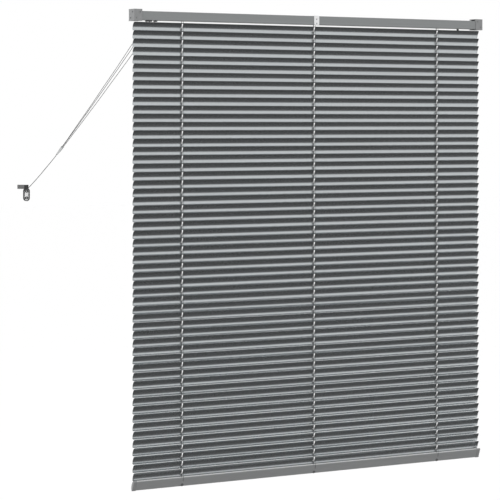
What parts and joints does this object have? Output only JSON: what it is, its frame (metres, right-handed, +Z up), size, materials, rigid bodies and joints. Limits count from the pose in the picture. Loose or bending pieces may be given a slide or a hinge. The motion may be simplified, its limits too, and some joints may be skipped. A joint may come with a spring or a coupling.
{
  "type": "venetian blind",
  "caption": "Lowered, closed venetian blind with curved metal slats on string ladders, headrail in box brackets, tilt wand, cord lock, bottom rail, lift cords and a wall cleat.",
  "frame": {"origin": "middle of the centre bracket's two wall screw holes, on the wall face of the bracket", "axes": "+X along the slats to the right as seen from the wall side, +Y from the wall into the room, +Z up"},
  "size_m": [1.5388, 0.0315, 1.3129],
  "materials": {
    "headrail_enamel": "satin grey stove enamel on folded steel",
    "bracket_zinc": "pressed steel, grey zinc",
    "bracket_white": "white enamel on bent steel strip",
    "rod_steel": "drawn steel",
    "white_plastic": "moulded white plastic",
    "dark_plastic": "moulded dark grey plastic",
    "cap_plastic": "moulded grey plastic",
    "clear_plastic": "clear moulded plastic",
    "slat_enamel": "silver-grey enamel on rolled aluminium strip",
    "rail_enamel": "satin grey stove enamel on rolled steel",
    "cord_braid": "braided light grey polyester cord"
  },
  "bodies": {
    "blind": {"headrail": "headrail_enamel", "left_bracket": "bracket_zinc", "right_bracket": "bracket_zinc", "centre_bracket": "bracket_white", "left_cradle": "white_plastic", "centre_cradle": "white_plastic", "right_cradle": "white_plastic", "tilter_housing": "dark_plastic", "lock_housing": "dark_plastic", "lock_pegs": "rod_steel", "slats_on_ladders": "slat_enamel", "bottom_rail": "rail_enamel", "left_rail_cap": "cap_plastic", "right_rail_cap": "cap_plastic", "left_button": "dark_plastic", "centre_button": "dark_plastic", "right_button": "dark_plastic", "left_lift_cord": "cord_braid", "centre_lift_cord": "cord_braid", "right_lift_cord": "cord_braid", "left_free_cord": "cord_braid", "centre_free_cord": "cord_braid", "right_free_cord": "cord_braid", "cord_connector": "clear_plastic", "pull_cord": "cord_braid", "cord_cleat": "clear_plastic"},
    "tilt_shaft": {"tilt_rod": "rod_steel", "left_drum": "white_plastic", "centre_drum": "white_plastic", "right_drum": "white_plastic", "tilter_gear": "white_plastic"},
    "wand_stem": {"tilter_worm": "dark_plastic"},
    "wand": {"wand_hook": "dark_plastic", "wand_rod": "clear_plastic", "wand_grip": "clear_plastic"},
    "left_flap": {"left_gate": "bracket_zinc"},
    "right_flap": {"right_gate": "bracket_zinc"},
    "pawl": {"lock_pawl": "white_plastic"}
  },
  "joints": [
    {"name": "tilt_turn", "type": "hinge", "parent": "blind", "child": "tilt_shaft", "pos_m": [0, 0.014, 0.0045], "axis": [1, 0, 0], "range_deg": [0, 180]},
    {"name": "wand_turn", "type": "hinge", "parent": "blind", "child": "wand_stem", "pos_m": [0.522, 0.02275, 0], "axis": [0, 0, 1], "range_deg": [-2880, 0]},
    {"name": "wand_swing", "type": "hinge", "parent": "wand_stem", "child": "wand", "pos_m": [0.522, 0.02275, -0.0153], "axis": [1, 0, 0], "range_deg": [0, 60]},
    {"name": "left_gate_open", "type": "hinge", "parent": "blind", "child": "left_flap", "pos_m": [-0.58495, 0.0289, 0.0188], "axis": [1, 0, 0], "range_deg": [0, 110]},
    {"name": "right_gate_open", "type": "hinge", "parent": "blind", "child": "right_flap", "pos_m": [0.58495, 0.0289, 0.0188], "axis": [1, 0, 0], "range_deg": [0, 110]},
    {"name": "pawl_swing", "type": "hinge", "parent": "blind", "child": "pawl", "pos_m": [-0.53, 0.013, 0], "axis": [1, 0, 0], "range_deg": [0, 30]}
  ],
  "couplings": [
    {"joint": "wand_turn", "follows": "tilt_turn", "ratio": -16}
  ]
}
